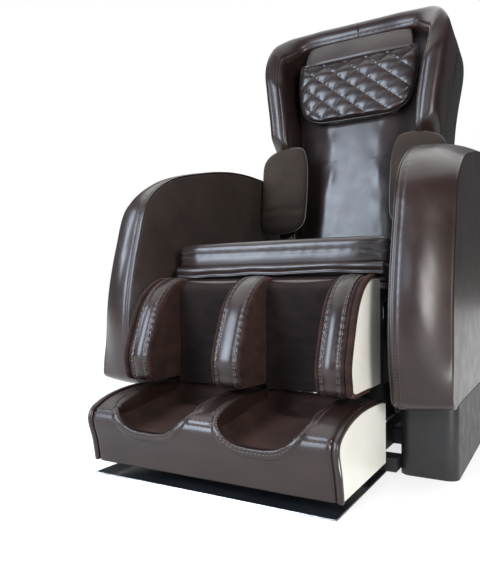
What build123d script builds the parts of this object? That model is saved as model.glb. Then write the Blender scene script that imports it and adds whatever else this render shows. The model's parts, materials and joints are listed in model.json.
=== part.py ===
from build123d import *
import math
import os

# Massage chair: a steel base, two arm pods, a seat, a reclining backrest with a massage carriage
# inside, and a swinging calf rest that carries a sliding foot unit.
#
# Millimetres. +X is to the right as seen from the front, +Y points to the back, +Z is up. The origin is
# on the floor under the middle of the chair. Depths are first counted from the foot unit's nose, and
# save() shifts every finished piece forward so that the origin is central.

os.makedirs("parts", exist_ok=True)

# ---------------------------------------------------------------- driving dimensions
LENGTH = 1096.0                       # foot unit's nose to the back of the transport wheels
ARM_IN, ARM_OUT, ARM_PAD = 280.0, 380.0, 12.0
ARM_BASE, ARM_BACK = 138.0, 985.0     # lower edge and rear end of an arm pod
SEAT_HALF, SEAT_FRONT, SEAT_BACK = 245.0, 283.0, 772.0
SEAT_TOP, SEAT_UNDER, PAN_Z = 455.0, 415.0, 352.0
RAIL_X, RAIL_W, RAIL_Z = 215.0, 25.0, 30.0
RAIL_FRONT, RAIL_BACK, RAIL_H = 285.0, 1075.0, 35.0

CALF_HALF, COVER = 238.0, 9.0         # half width over the calf rest, thickness of a side cover
COVER_STEP = 7.0                      # a side cover's edge stands this far behind the leather's
CALF_BOTTOM, CALF_BACK = 166.0, 262.0
FIN_MID, FIN_IN = 33.0, 172.0         # middle fin's half width, inner face of an outer fin
CALF_AXIS = (250.0, 352.0)            # calf rest's hinge: depth, height
CALF_SWING, CALF_REACH = 80.0, 45.0   # degrees from hanging to raised, lever length
GUIDE_X, GUIDE_Y = 150.0, 246.0       # guide rods of the foot unit
FOOT_HALF, FOOT_BOTTOM, FOOT_BACK = 240.0, 24.0, 262.0
WELL_IN, WELL_OUT, WELL_FLOOR = 26.0, 190.0, 86.0

BACK_AXIS = (830.0, 340.0)            # recline hinge: depth, height
BACK_TILT, RECLINE, BACK_REACH = 8.0, 50.0, 70.0
BACK_TOP, SHELL_BACK = 846.0, 140.0   # upward along the backrest, and behind the hinge
CUSHION_FACE, WING_FACE = -45.0, -148.0
SHAFT_T, SHAFT_S = 50.0, 190.0        # kneading shaft behind the hinge and above it
SCREW_X, SCREW_T = -64.0, 96.0

RUN = 0.06                            # radial clearance of a running fit
FOLLOW = 1.2                          # clearance of a lever pin in its slotted rod end

# ---------------------------------------------------------------- helpers


def save(name, *shapes):
    """Shifts the piece to the shared origin and writes its STEP file."""
    moved = [Pos(0, -LENGTH / 2, 0) * s for shape in shapes for s in shape.solids()]
    export_step(moved[0] if len(moved) == 1 else Compound(moved), f"parts/{name}.step")


def block(x0, x1, y0, y1, z0, z1):
    """A box between two corners."""
    return Pos((x0 + x1) / 2, (y0 + y1) / 2, (z0 + z1) / 2) * Box(x1 - x0, y1 - y0, z1 - z0)


def rod_x(x0, x1, y, z, r):
    """A round bar along X."""
    return Pos((x0 + x1) / 2, y, z) * Rot(0, 90, 0) * Cylinder(r, x1 - x0)


def rod_y(x, y0, y1, z, r):
    """A round bar along Y."""
    return Pos(x, (y0 + y1) / 2, z) * Rot(90, 0, 0) * Cylinder(r, y1 - y0)


def rod_z(x, y, z0, z1, r):
    """A round bar along Z."""
    return Pos(x, y, (z0 + z1) / 2) * Cylinder(r, z1 - z0)


def plate_x(points, x0, x1):
    """A plate between x0 and x1 whose outline is given as (depth, height) pairs."""
    wire = Polyline(*[(0, y, z) for y, z in points], close=True)
    return Pos(x0, 0, 0) * extrude(make_face(wire), amount=x1 - x0, dir=(1, 0, 0))


def curved_x(curve, rest, x0, x1):
    """As plate_x, with the first part of the outline a smooth curve and the rest straight."""
    line = Spline(*[(0, y, z) for y, z in curve])
    back = Polyline(*[(0, y, z) for y, z in [curve[-1]] + rest + [curve[0]]])
    return Pos(x0, 0, 0) * extrude(make_face(line + back), amount=x1 - x0, dir=(1, 0, 0))


def flip(shape):
    """The mirror image across the middle of the chair."""
    return mirror(shape, Plane.YZ)


def pair(shape):
    return [shape, flip(shape)]


def fuse(shapes):
    body = shapes[0]
    for s in shapes[1:]:
        body = body + s
    return body


def on_back(shape):
    """Moves a piece drawn upright about the recline hinge to where it stands at rest."""
    return Pos(0, *BACK_AXIS) * Rot(-BACK_TILT, 0, 0) * shape


def round_x(shape, r):
    return fillet(shape.edges().filter_by(Axis.X), r)


def round_z(shape, r):
    return fillet(shape.edges().filter_by(Axis.Z), r)


# ---------------------------------------------------------------- base


def lever_pin(axis, reach, swing):
    """Depth and height at rest of a lever pin that swings evenly about straight down."""
    a = math.radians(swing / 2)
    return axis[0] + reach * math.sin(a), axis[1] - reach * math.cos(a)


def make_base():
    inner, outer = RAIL_X - RAIL_W / 2, RAIL_X + RAIL_W / 2
    parts = pair(block(inner, outer, RAIL_FRONT, RAIL_BACK, RAIL_Z, RAIL_Z + RAIL_H))
    for y in (306, 600, 1050):
        parts.append(block(-inner, inner, y - 15, y + 15, RAIL_Z + 3, RAIL_Z + 31))
    for y in (400, 900):
        parts += pair(block(outer, 264, y - 15, y + 15, RAIL_Z + 3, RAIL_Z + 31))
    for y in (315, 757):
        parts += pair(block(RAIL_X - 11, RAIL_X + 11, y - 12, y + 12, RAIL_Z + RAIL_H, PAN_Z - 27))
    parts += pair(block(RAIL_X - 12, RAIL_X + 12, 300, SEAT_BACK, PAN_Z - 27, PAN_Z))
    for y in (314, 757):
        parts.append(block(-(RAIL_X - 12), RAIL_X - 12, y - 12, y + 12, PAN_Z - 25, PAN_Z))
    for y in (420, 650):
        parts += pair(block(RAIL_X + 12, ARM_IN, y - 12, y + 12, PAN_Z - 25, PAN_Z - 1))
    y, z = BACK_AXIS
    ear = plate_x([(744, 301), (y, z - 26), (y, z + 26), (SEAT_BACK + 4, PAN_Z), (744, PAN_Z)],
                  RAIL_X + 12, RAIL_X + 19)
    ear += rod_x(RAIL_X + 12, RAIL_X + 19, y, z, 26)
    parts += pair(ear - rod_x(200, 250, y, z, 8))
    y, z = CALF_AXIS
    arm = plate_x([(302, z - 20), (y, z - 12), (y, z + 12), (302, z)], 100, 108) + rod_x(100, 108, y, z, 12)
    parts += pair(arm - rod_x(90, 120, y, z, 6))
    parts.append(block(-203, 203, 440, 470, 226, 244))
    parts += pair(block(195, 203, 440, 470, 244, PAN_Z))
    parts += [block(-40, -28, 436, 474, 244, 290), block(28, 40, 436, 474, 244, 290)]
    parts += [block(-130, -118, 444, 466, 244, 330), block(-66, -54, 444, 466, 244, 330)]
    for y in (400, 540):
        parts.append(block(-inner, inner, y - 12, y + 12, 54, 62))
    y, z, x = 1064, 36, 250
    for side in (x - 20, x + 16):
        parts += pair(block(side, side + 4, y - 16, y + 14, 24, 76) - rod_x(x - 25, x + 25, y, z, 5))
    parts += pair(block(x - 20, x + 20, y - 16, y + 14, 72, 78))
    parts += pair(block(outer, x - 20, y - 14, y + 11, 34, 62))
    save("base_frame", fuse(parts))

    y, z = BACK_AXIS
    pins = pair(rod_x(206, 234, y, z, 8) + rod_x(234, 240, y, z, 13))
    y, z = CALF_AXIS
    pins += pair(rod_x(100, 119, y, z, 6) + rod_x(94, 100, y, z, 10))
    y, z = 1064, 36
    pins += pair(rod_x(x - 20, x + 20, y, z, 5) + rod_x(x + 20, x + 24, y, z, 8))
    save("pivot_pins", *pins)

    wheel = rod_x(x - 14, x + 14, y, z, 32)
    wheel = fillet(wheel.edges().filter_by(GeomType.CIRCLE), 4) - rod_x(x - 20, x + 20, y, z, 5 + RUN)
    wheel -= rod_x(x + 10, x + 15, y, z, 21) - rod_x(x + 9, x + 16, y, z, 10)
    save("wheel_right", wheel)
    save("wheel_left", flip(wheel))

    save("floor_plate", block(-240, 240, 16, 330, 0, 3))
    feet = pair(block(206, 262, 286, 326, 3, RAIL_Z)) + pair(block(206, 240, 985, 1020, 0, RAIL_Z))
    save("floor_feet", *[chamfer(f.edges().group_by(Axis.Z)[0], 2) for f in feet])


# ---------------------------------------------------------------- arms


def arm_outline(inset, x0, x1):
    """Side outline of an arm pod, drawn in by inset, given width from x0 to x1."""
    i = inset
    curve = [(172 + i, ARM_BASE + i), (156 + i, 235), (161 + i, 345), (187 + i, 460), (222 + i, 556 - i / 2),
             (300 + i / 2, 614 - i), (460, 662 - i), (600, 689 - i), (740, 698 - i), (860, 690 - i),
             (945 - i, 640 - i / 2), (ARM_BACK - i, 530), (976 - i, 330), (940 - i, ARM_BASE + i)]
    return curved_x(curve, [], x0, x1)


def make_arms():
    face = ARM_IN + ARM_PAD
    shell = arm_outline(0, face, 358) + arm_outline(9, 358, 372) + arm_outline(22, 372, ARM_OUT)
    shell -= arm_outline(16, face - 1, 352)
    shell = shell.solids().sort_by(SortBy.VOLUME)[-1]
    pad = arm_outline(4, ARM_IN + 4, face) + arm_outline(8, ARM_IN, ARM_IN + 4)
    bag = round_x(block(face, face + 30, 380, 780, 440, 600), 40)
    for name, turn in (("right", lambda s: s), ("left", flip)):
        save(f"arm_shell_{name}", turn(shell))
        save(f"arm_inner_pad_{name}", turn(pad))
    save("arm_airbags", *pair(bag))
    skirt = round_z(block(264, 370, 292, 1055, 0, ARM_BASE), 22)
    skirt -= round_z(block(269, 365, 297, 1050, -5, ARM_BASE - 5), 17)
    skirt -= block(250, 276, 1028, 1060, -5, 84)
    save("side_skirts", *pair(skirt))

    y0, z = 480.0, 622.0
    housing = round_x(block(ARM_IN - 9, ARM_IN, y0, y0 + 90, z - 15, z + 15), 10)
    for i, name in enumerate(("power_button", "pause_button")):
        y = y0 + 27 + 36 * i
        housing -= rod_x(ARM_IN - 12, ARM_IN - 1.5, y, z, 9.3)
        save(name, rod_x(ARM_IN - 11.5, ARM_IN - 4.5, y, z, 9))
    save("keypad_housing", housing)


# ---------------------------------------------------------------- seat and drives


def slotted_end(shape, x0, x1, pin, reach, swing, pin_r):
    """Adds a slotted end to an actuator rod, so that the lever pin can rise and fall in it."""
    drop = reach * (1 - math.cos(math.radians(swing / 2)))
    y, top = pin
    end = block(x0, x1, y - pin_r - 7, y + pin_r + 7, top - drop - pin_r - 7, top + pin_r + 7)
    gap = pin_r + FOLLOW
    slot = block(x0 - 1, x1 + 1, y - gap, y + gap, top - drop, top)
    slot += rod_x(x0 - 1, x1 + 1, y, top, gap) + rod_x(x0 - 1, x1 + 1, y, top - drop, gap)
    return shape + end - slot


def make_seat():
    save("seat_pan", round_z(block(-238, 238, 304, SEAT_BACK, PAN_Z, PAN_Z + 12), 15))
    cushion = round_z(block(-SEAT_HALF, SEAT_HALF, SEAT_FRONT, SEAT_BACK, SEAT_UNDER, SEAT_TOP), 25)
    cushion = fillet(cushion.edges().group_by(Axis.Z)[-1], 12)
    cushion += round_z(block(-238, 238, 305, SEAT_BACK - 2, PAN_Z + 12, SEAT_UNDER), 20)
    save("seat_cushion", cushion)
    save("seat_apron", block(-240, 240, 275, 282, 386, 413) + block(-240, 240, 275, 304, 406, 413))

    pin = lever_pin(BACK_AXIS, BACK_REACH, RECLINE)
    z = pin[1] - 3
    body = block(-28, 28, 440, 640, z - 26, z + 26) + rod_y(0, 640, 742, z, 17)
    save("recline_actuator", body - rod_y(0, 446, 760, z, 9 + RUN))
    rod = rod_y(0, 510, pin[0] - 10, z, 9)
    save("recline_rod", slotted_end(rod, -9, 9, pin, BACK_REACH, RECLINE, 5))
    pin = lever_pin(CALF_AXIS, CALF_REACH, CALF_SWING)
    z = pin[1] - 5
    body = block(-118, -66, 430, 590, z - 22, z + 22) + rod_y(-92, 350, 430, z, 13)
    save("calf_actuator", body - rod_y(-92, 340, 560, z, 7 + RUN))
    rod = rod_y(-92, pin[0] + 8, 550, z, 7)
    save("calf_rod", slotted_end(rod, -99, -85, pin, CALF_REACH, CALF_SWING, 5))

    save("control_box", round_z(block(60, 190, 380, 560, 62, 140), 8))
    pump = round_z(block(-185, -60, 380, 560, 62, 112), 10)
    for y in (430, 510):
        pump += rod_z(-122, y, 112, 160, 34)
    save("air_pump", pump)
    panel = block(56, 156, 1065, 1071, 36, 92) + block(66, 120, 1071, 1081, 42, 86)
    panel -= block(72, 114, 1073, 1082, 48, 80)
    for x, z in ((82, 60), (93, 68), (104, 60)):
        panel += rod_y(x, 1073, 1080, z, 2)
    save("mains_inlet", panel - block(128, 148, 1067, 1072, 48, 80))
    rocker = plate_x([(1070, 63), (1073, 50.5), (1077, 50.5), (1078.5, 64), (1077, 77.5), (1073, 77.5),
                      (1070, 65)], 129, 147)
    save("power_switch", rocker)


# ---------------------------------------------------------------- backrest


def half_width(s):
    """Half the backrest's width at height s above the recline hinge."""
    stations = ((-40, 214), (120, 226), (330, 240), (430, 250), (520, 256), (620, 270), (720, 280), (760, 276))
    for (s0, w0), (s1, w1) in zip(stations, stations[1:]):
        if s <= s1:
            return w0 + (w1 - w0) * (s - s0) / (s1 - s0)
    return stations[-1][1]


def back_slab(inset, low, t0, t1, top=BACK_TOP):
    """The backrest's front outline, drawn in by inset, given depth from t0 to t1."""
    levels = [low] + [s for s in (330, 430, 520, 620, 720) if s > low]
    side = [(half_width(s) - inset, 0, s) for s in levels] + [(268 - inset, 0, 765 - inset / 2)]
    right = Spline(*side)
    crown = ThreePointArc(right @ 1, (222 - inset * 0.8, 0, top - 19 - inset * 0.8), (140, 0, top - inset))
    outline = right + crown + Line((140, 0, top - inset), (-140, 0, top - inset))
    outline += mirror(crown, Plane.YZ) + mirror(right, Plane.YZ)
    outline += Line((-side[0][0], 0, low), (side[0][0], 0, low))
    return Pos(0, t0, 0) * extrude(make_face(outline), amount=t1 - t0, dir=(0, 1, 0))


def make_back():
    def profile(d, bottom):
        curve = [(70 - d, bottom), (118 - d, 60), (SHELL_BACK - d, 260), (128 - d, 560), (78 - d, BACK_TOP + 2)]
        return curved_x(curve, [(-2, BACK_TOP + 2), (-2, bottom)], -320, 320)

    shell = (back_slab(0, -30, 0, SHELL_BACK) & profile(0, -32)) - (back_slab(5, -36, -1, SHELL_BACK + 1)
                                                                   & profile(5, -38))
    for s in (block(200, 240, -5, 45, -45, 80), block(-240, -200, -5, 45, -45, 80)):
        shell -= s
    save("rear_shell", on_back(shell.solids().sort_by(SortBy.VOLUME)[-1]))

    w = 196.0
    side = block(w - 12, w + 12, 4, 28, -18, 720) + block(w + 12, w + 18, -20, 28, -22, 60)
    side -= rod_x(w - 20, w + 30, 0, 0, 8 + RUN)
    parts = pair(side)
    for s in (30, 694):
        parts.append(block(-w + 12, w - 12, 4, 28, s - 12, s + 12))
    for s in (70, 664):
        parts += pair(block(104, w - 12, 4, 46, s - 8, s + 8))
    a = math.radians(RECLINE / 2 + BACK_TILT)
    y, z = BACK_REACH * math.sin(a), -BACK_REACH * math.cos(a)
    cheek = plate_x([(4, 18), (28, 18), (y + 12, z), (y, z - 12), (y - 14, z)], 13, 19)
    parts += pair(cheek) + [rod_x(-13, 13, y, z, 5)]
    parts += pair(block(104, 130, 46, 76, 60, 676) - block(103, 125, 51, 71, 59, 677))
    save("back_frame", on_back(fuse(parts)))

    front = curved_x([(-72, 150), (-74, 440), (-100, 474), (-138, 560), (WING_FACE, 660), (-130, 760),
                      (-60, BACK_TOP - 18)], [(0, BACK_TOP - 18), (0, 150)], -320, 320)
    ring = back_slab(0, 150, -160, 0) - back_slab(64, 100, -170, 10)
    wing = (ring & front) & block(0, 330, -200, 20, 0, 900)
    wing = wing.solids().sort_by(SortBy.VOLUME)[-1]
    for name, turn in (("right", lambda s: s), ("left", flip)):
        save(f"back_wing_{name}", on_back(turn(wing)))
        pad = round_z(block(124, 272, -126, -80, 172, 440), 20)
        save(f"side_pad_{name}", on_back(turn(pad)))
    cushion = back_slab(66, 118, CUSHION_FACE, -12, top=BACK_TOP - 40)
    save("back_cushion", on_back(cushion))
    pillow = round_y(block(-182, 182, -95, CUSHION_FACE - 1, 518, 736), 55) + block(
        -150, 150, -70, CUSHION_FACE - 1, 700, 770)
    save("head_pillow", on_back(pillow))


def round_y(shape, r):
    return fillet(shape.edges().filter_by(Axis.Y), r)


def make_carriage():
    """Carriage that climbs the guide rails on a screw, with two rocking arms of two rollers each."""
    s, t = SHAFT_S, SHAFT_T
    parts = pair(block(94, 100, 30, 84, s - 55, s + 55))
    for d in (-40, 40):
        parts += pair(rod_x(100, 124, 61, s + d, 9.7))
        parts.append(block(-94, 94, 72, 82, s + d - 8, s + d + 8))
    parts.append(block(SCREW_X - 13, SCREW_X + 13, 82, SCREW_T + 12, s + 32, s + 56))
    frame = fuse(parts) - rod_x(-110, 110, t, s, 7 + RUN) - rod_z(SCREW_X, SCREW_T, s, s + 80, 7 + RUN)
    save("carriage_frame", on_back(frame))
    motor = block(-34, 34, 36, 71, s - 28, s + 28) + round_y(block(-34, 34, 71, 108, s - 31, s + 31), 12)
    save("kneading_motor", on_back(motor - rod_x(-40, 40, t, s, 7 + RUN)))
    save("kneading_shaft", on_back(rod_x(-99, 99, t, s, 7)))
    for name, sign in (("right", 1), ("left", -1)):
        x, tip = sign * 60.0, t - 25
        arm = rod_x(x - 8, x + 8, t, s, 17) + block(x - 5, x + 5, tip - 9, t - 4, s - 14, s + 14)
        arm += block(x - 5, x + 5, tip - 9, tip + 9, s - 80, s + 80)
        for d in (72, -72):
            arm += rod_x(min(x, x + sign * 31), max(x, x + sign * 31), tip, s + d, 4)
        save(f"kneading_arm_{name}", on_back(arm - rod_x(x - 20, x + 20, t, s, 7 + RUN)))
        for place, d in (("upper", 72), ("lower", -72)):
            mid = x + sign * 18
            roller = rod_x(mid - 11, mid + 11, tip, s + d, 21)
            roller = fillet(roller.edges().filter_by(GeomType.CIRCLE), 8)
            roller -= rod_x(mid - 20, mid + 20, tip, s + d, 4 + RUN)
            save(f"roller_{place}_{name}", on_back(roller))
    save("lift_screw", on_back(rod_z(SCREW_X, SCREW_T, 78, 650, 7)))
    motor = block(SCREW_X - 22, SCREW_X + 22, 78, 112, 62, 88) + block(-130, SCREW_X - 22, 76, 90, 64, 84)
    top = block(-130, SCREW_X + 12, 76, 106, 640, 652)
    motor -= rod_z(SCREW_X, SCREW_T, 77, 90, 7 + RUN)
    save("lift_motor", on_back(motor), on_back(top - rod_z(SCREW_X, SCREW_T, 630, 660, 7 + RUN)))


# ---------------------------------------------------------------- calf rest and foot unit


def calf_side(x0, x1, back, inset=0.0):
    i = inset
    curve = [(94 + i, CALF_BOTTOM + i), (90 + i, 217), (106 + i, 268), (130 + i, 320 - i / 2),
             (164 + i / 2, 355 - i), (206, 374 - i), (240, 376 - i)]
    return curved_x(curve, [(back, 376 - i), (back, CALF_BOTTOM + i)], x0, x1)


def foot_side(x0, x1, inset=0.0):
    i = inset
    curve = [(20 + i, FOOT_BOTTOM + i), (13 + i, 62), (0 + i, 106), (6 + i, 121 - i / 2), (26 + i, 133 - i),
             (60, 144 - i), (110, 151 - i), (170, 152 - i), (240, 148 - i)]
    return curved_x(curve, [(FOOT_BACK - i, 146 - i), (FOOT_BACK - i, FOOT_BOTTOM + i)], x0, x1)


def make_calf():
    outer = CALF_HALF - COVER
    save("calf_fin_middle", calf_side(-FIN_MID, FIN_MID, 214))
    fin = calf_side(FIN_IN, outer, 214)
    cover = calf_side(outer, CALF_HALF, CALF_BACK, COVER_STEP)
    for name, turn in (("right", lambda s: s), ("left", flip)):
        save(f"calf_fin_{name}", turn(fin))
        save(f"calf_cover_{name}", turn(cover))
    save("calf_lining", *pair(block(FIN_MID, FIN_IN, 196, 214, CALF_BOTTOM + 2, 366)))
    save("calf_board", block(-outer, outer, 214, 231, CALF_BOTTOM + 2, 368))
    y, z = CALF_AXIS
    parts = pair(rod_z(GUIDE_X, GUIDE_Y, 170, 336, 12) + block(GUIDE_X - 20, GUIDE_X + 20, 231, 240, 200, 300))
    parts += [block(-GUIDE_X, -106, 236, 254, 296, 312), block(-83, GUIDE_X, 236, 254, 296, 312)]
    parts.append(block(-GUIDE_X, GUIDE_X, 238, 254, 184, 200))
    ear = block(110, 117, 236, 254, 300, z) + rod_x(110, 117, y, z, 12)
    parts += pair(ear)
    pin = lever_pin(CALF_AXIS, CALF_REACH, CALF_SWING)
    lever = plate_x([(236, 296), (254, 296), (pin[0], pin[1] - 9), (pin[0] + 9, pin[1]), (y + 8, z + 6),
                     (236, z + 6)], -82, -76)
    parts += [lever, rod_x(-101, -82, pin[0], pin[1], 5)]
    frame = fuse(parts) - rod_x(109, 118, y, z, 6 + RUN) - rod_x(-118, -109, y, z, 6 + RUN)
    for x in (-GUIDE_X, GUIDE_X):
        frame -= rod_z(x, GUIDE_Y, 160, 340, 8 + RUN)
    save("calf_frame", frame)
    save("calf_back_cover", block(-outer, outer, CALF_BACK - 3, CALF_BACK, 206, 290))


def make_foot():
    y, z = 130.0, 60.0
    wide = WELL_OUT - WELL_IN
    body = foot_side(-FOOT_HALF, FOOT_HALF)
    for x in (WELL_IN, -WELL_OUT):
        body -= round_z(block(x, x + wide, 20, 222, WELL_FLOOR - 8, 180), 30)
        body -= rod_y(x + wide / 2, -20, 60, 170, 78)
    body -= block(-186, 186, y - 42, y + 42, z - 24, WELL_FLOOR + 2) + rod_x(-200, 200, y, z, 6 + RUN)
    tray_z = FOOT_BOTTOM + 14
    hollow = block(-228, 228, 182, 254, FOOT_BOTTOM + 6, tray_z)
    rods = pair(rod_z(GUIDE_X, GUIDE_Y, tray_z, 312, 8))
    body -= hollow
    for rod in rods:
        body -= rod
    save("foot_body", body)
    bearing = block(-12, 12, y - 14, y + 14, z - 24, z + 14) - rod_x(-20, 20, y, z, 6 + RUN)
    save("foot_frame", fuse([hollow] + rods), bearing)
    roller = [rod_x(-198, 198, y, z, 6)]
    for i, x in enumerate((50, 84, 118, 152)):
        a = math.radians(90 * i)
        roller += pair(rod_x(x, x + 24, y + 3.5 * math.sin(a), z + 3.5 * math.cos(a), 13))
    save("foot_roller", fuse(roller))
    lining = [round_z(block(x, x + wide, 20, 222, WELL_FLOOR - 8, WELL_FLOOR), 30)
              for x in (WELL_IN, -WELL_OUT)]
    save("foot_lining", *lining)
    cover = foot_side(FOOT_HALF, FOOT_HALF + 8.5, COVER_STEP / 2)
    save("foot_cover_right", cover)
    save("foot_cover_left", flip(cover))


def main():
    make_base()
    make_arms()
    make_seat()
    make_back()
    make_carriage()
    make_calf()
    make_foot()


main()
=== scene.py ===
import json
import math

import bmesh
import bpy
import numpy as np
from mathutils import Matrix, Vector
from mathutils.bvhtree import BVHTree


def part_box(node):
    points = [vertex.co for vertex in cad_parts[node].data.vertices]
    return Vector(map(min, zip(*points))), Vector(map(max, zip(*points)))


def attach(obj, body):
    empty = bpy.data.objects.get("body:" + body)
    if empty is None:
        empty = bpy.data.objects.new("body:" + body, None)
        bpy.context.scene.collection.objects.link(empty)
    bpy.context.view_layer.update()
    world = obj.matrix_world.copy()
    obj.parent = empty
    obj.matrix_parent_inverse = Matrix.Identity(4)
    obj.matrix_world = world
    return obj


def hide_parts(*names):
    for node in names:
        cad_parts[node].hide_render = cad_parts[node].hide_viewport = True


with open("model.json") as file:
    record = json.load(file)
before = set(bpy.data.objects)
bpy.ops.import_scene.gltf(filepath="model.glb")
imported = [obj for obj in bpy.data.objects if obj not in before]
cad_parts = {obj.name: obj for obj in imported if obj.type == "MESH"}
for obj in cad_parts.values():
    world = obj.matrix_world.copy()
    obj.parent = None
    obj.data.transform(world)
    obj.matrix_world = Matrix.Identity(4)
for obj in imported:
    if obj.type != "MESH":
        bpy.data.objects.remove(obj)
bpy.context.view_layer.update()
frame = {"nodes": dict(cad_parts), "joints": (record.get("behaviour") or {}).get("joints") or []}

MM = 0.001
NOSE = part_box("foot_body")[0].y           # the foot unit's nose; depths are counted from it, in mm


# -------- places

SIDES = ((1, "right"), (-1, "left"))


def joint(name):
    return next(j for j in frame["joints"] if j["name"] == name)


HINGE = np.array(joint("recline")["pos_m"])
UP_BACK = np.array(joint("carriage_climb")["axis"])       # along the backrest
BEHIND = np.array([0.0, UP_BACK[2], -UP_BACK[1]])         # out of the backrest's rear


def chair(points):
    """(x, depth from the nose, height) in mm to the shared frame."""
    return np.asarray(points, float) * MM + np.array([0, NOSE, 0])


def back(points):
    """(x, behind the recline hinge, up the backrest) in mm to the shared frame."""
    p = np.asarray(points, float) * MM
    return HINGE + p[..., :1] * np.array([1.0, 0, 0]) + p[..., 1:2] * BEHIND + p[..., 2:3] * UP_BACK


def smoothstep(a, b, v):
    t = np.clip((np.asarray(v, float) - a) / (b - a), 0, 1)
    return t * t * (3 - 2 * t)


def bell(v, width):
    return np.exp(-(np.asarray(v, float) / width) ** 2)


def wobble(seed, *coords, waves=5):
    """Smooth seeded unevenness between about -1 and 1 over any number of coordinates in mm."""
    rng = np.random.default_rng(seed)
    total = 0
    for k in range(waves):
        phase = rng.uniform(0, 2 * math.pi)
        for c in coords:
            phase = phase + np.asarray(c, float) * rng.uniform(-1, 1) * (k + 1.5) / 60
        total = total + np.sin(phase) / (k + 1.5)
    return total


# -------- curves

def travelled(line):
    """The distance run along a line at each of its points."""
    return np.concatenate([[0], np.cumsum(np.linalg.norm(np.diff(line, axis=0), axis=1))])


def at_x(x, line):
    """A plane line placed at x."""
    return np.column_stack([np.full(len(line), float(x)), line])


def smooth_line(points, count, closed=False):
    """Points evenly spaced on a smooth line through the given ones."""
    p = np.asarray(points, float)
    if closed:
        ring = np.vstack([p[-1], p, p[0], p[1]])
    else:
        ring = np.vstack([2 * p[0] - p[1], p, 2 * p[-1] - p[-2]])
    fine = []
    for a, b, c, d in zip(ring, ring[1:], ring[2:], ring[3:]):
        ta = np.linalg.norm(b - a) ** 0.5 + 1e-9
        tb = np.linalg.norm(c - b) ** 0.5 + 1e-9
        tc = np.linalg.norm(d - c) ** 0.5 + 1e-9
        m1 = (c - b) - tb * ((c - a) / (ta + tb) - (b - a) / ta)
        m2 = (c - b) + tb * ((d - c) / tc - (d - b) / (tb + tc))
        for t in np.linspace(0, 1, 24, endpoint=False):
            fine.append((2 * t ** 3 - 3 * t ** 2 + 1) * b + (t ** 3 - 2 * t ** 2 + t) * m1
                        + (3 * t ** 2 - 2 * t ** 3) * c + (t ** 3 - t ** 2) * m2)
    fine = np.array(fine + [p[0] if closed else p[-1]])
    return even(fine, count, closed)


def even(line, count, closed=False):
    """The same line with evenly spaced points; a closed line comes with its first point repeated."""
    line = np.asarray(line, float)
    run = travelled(line)
    at = np.linspace(0, run[-1], count, endpoint=not closed)
    return np.stack([np.interp(at, run, line[:, k]) for k in range(line.shape[1])], axis=1)


def length_of(line):
    return float(np.linalg.norm(np.diff(np.asarray(line, float), axis=0), axis=1).sum())


def rounded(points, radius, closed=False, steps=6):
    """A line of straight runs with its corners rounded."""
    p = [np.asarray(q, float) for q in points]
    n = len(p)
    out = []
    for i in range(n):
        if not closed and i in (0, n - 1):
            out.append(p[i])
            continue
        before, here, after = p[i - 1], p[i], p[(i + 1) % n]
        cut = min(radius, 0.45 * np.linalg.norm(before - here), 0.45 * np.linalg.norm(after - here))
        a = here + (before - here) / np.linalg.norm(before - here) * cut
        b = here + (after - here) / np.linalg.norm(after - here) * cut
        for t in np.linspace(0, 1, steps):
            out.append((1 - t) ** 2 * a + 2 * t * (1 - t) * here + t * t * b)
    if closed:
        out.append(out[0])
    return np.array(out)


def headings(line, closed=False):
    """Unit directions of travel at a line's points."""
    ahead = np.roll(line, -1, 0) - np.roll(line, 1, 0)
    if not closed:
        ahead[0], ahead[-1] = line[1] - line[0], line[-1] - line[-2]
    return ahead / (np.linalg.norm(ahead, axis=1)[:, None] + 1e-12)


def outward(line, closed=False):
    """Unit normals to the left of a plane line, which is outward on one drawn clockwise."""
    ahead = headings(line, closed)
    return np.stack([-ahead[:, 1], ahead[:, 0]], axis=1)


# -------- meshes

def add_object(name, points, faces, materials):
    data = bpy.data.meshes.new(name)
    data.from_pydata([tuple(p) for p in points], [], faces)
    obj = bpy.data.objects.new(name, data)
    bpy.context.scene.collection.objects.link(obj)
    for m in materials:
        data.materials.append(m)
    return obj


def shade_smooth(data):
    data.polygons.foreach_set("use_smooth", [True] * len(data.polygons))


def make_mesh(name, points, faces, materials, pick=None):
    """A smooth piece with its seams merged. pick gives each face's material."""
    obj = add_object(name, points, faces, materials)
    data = obj.data
    if pick is not None:
        data.polygons.foreach_set("material_index", pick)
    bm = bmesh.new()
    bm.from_mesh(data)
    bmesh.ops.remove_doubles(bm, verts=bm.verts, dist=2e-5)
    bmesh.ops.dissolve_degenerate(bm, edges=bm.edges, dist=1e-6)
    bmesh.ops.recalc_face_normals(bm, faces=bm.faces)
    bm.to_mesh(data)
    bm.free()
    shade_smooth(data)
    return obj


def skin(name, rows, materials, loop_u=False, loop_v=False, band_of=None, caps=False):
    """A surface over a grid of points. band_of(column) gives the material of that column's faces."""
    rows = np.asarray(rows, float)
    m, n = rows.shape[:2]
    faces, pick = [], []
    for i in range(m if loop_u else m - 1):
        for j in range(n if loop_v else n - 1):
            i2, j2 = (i + 1) % m, (j + 1) % n
            faces.append((i * n + j, i2 * n + j, i2 * n + j2, i * n + j2))
            pick.append(band_of(j) if band_of else 0)
    if caps:
        for i in (0, m - 1):
            faces.append(tuple(i * n + j for j in range(n)))
            pick.append(band_of(0) if band_of else 0)
    return make_mesh(name, rows.reshape(-1, 3), faces, materials, pick)


def pad(name, rows, materials, **form):
    """A skin closed round its columns and capped at both ends."""
    return skin(name, rows, materials, loop_v=True, caps=True, **form)


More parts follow.
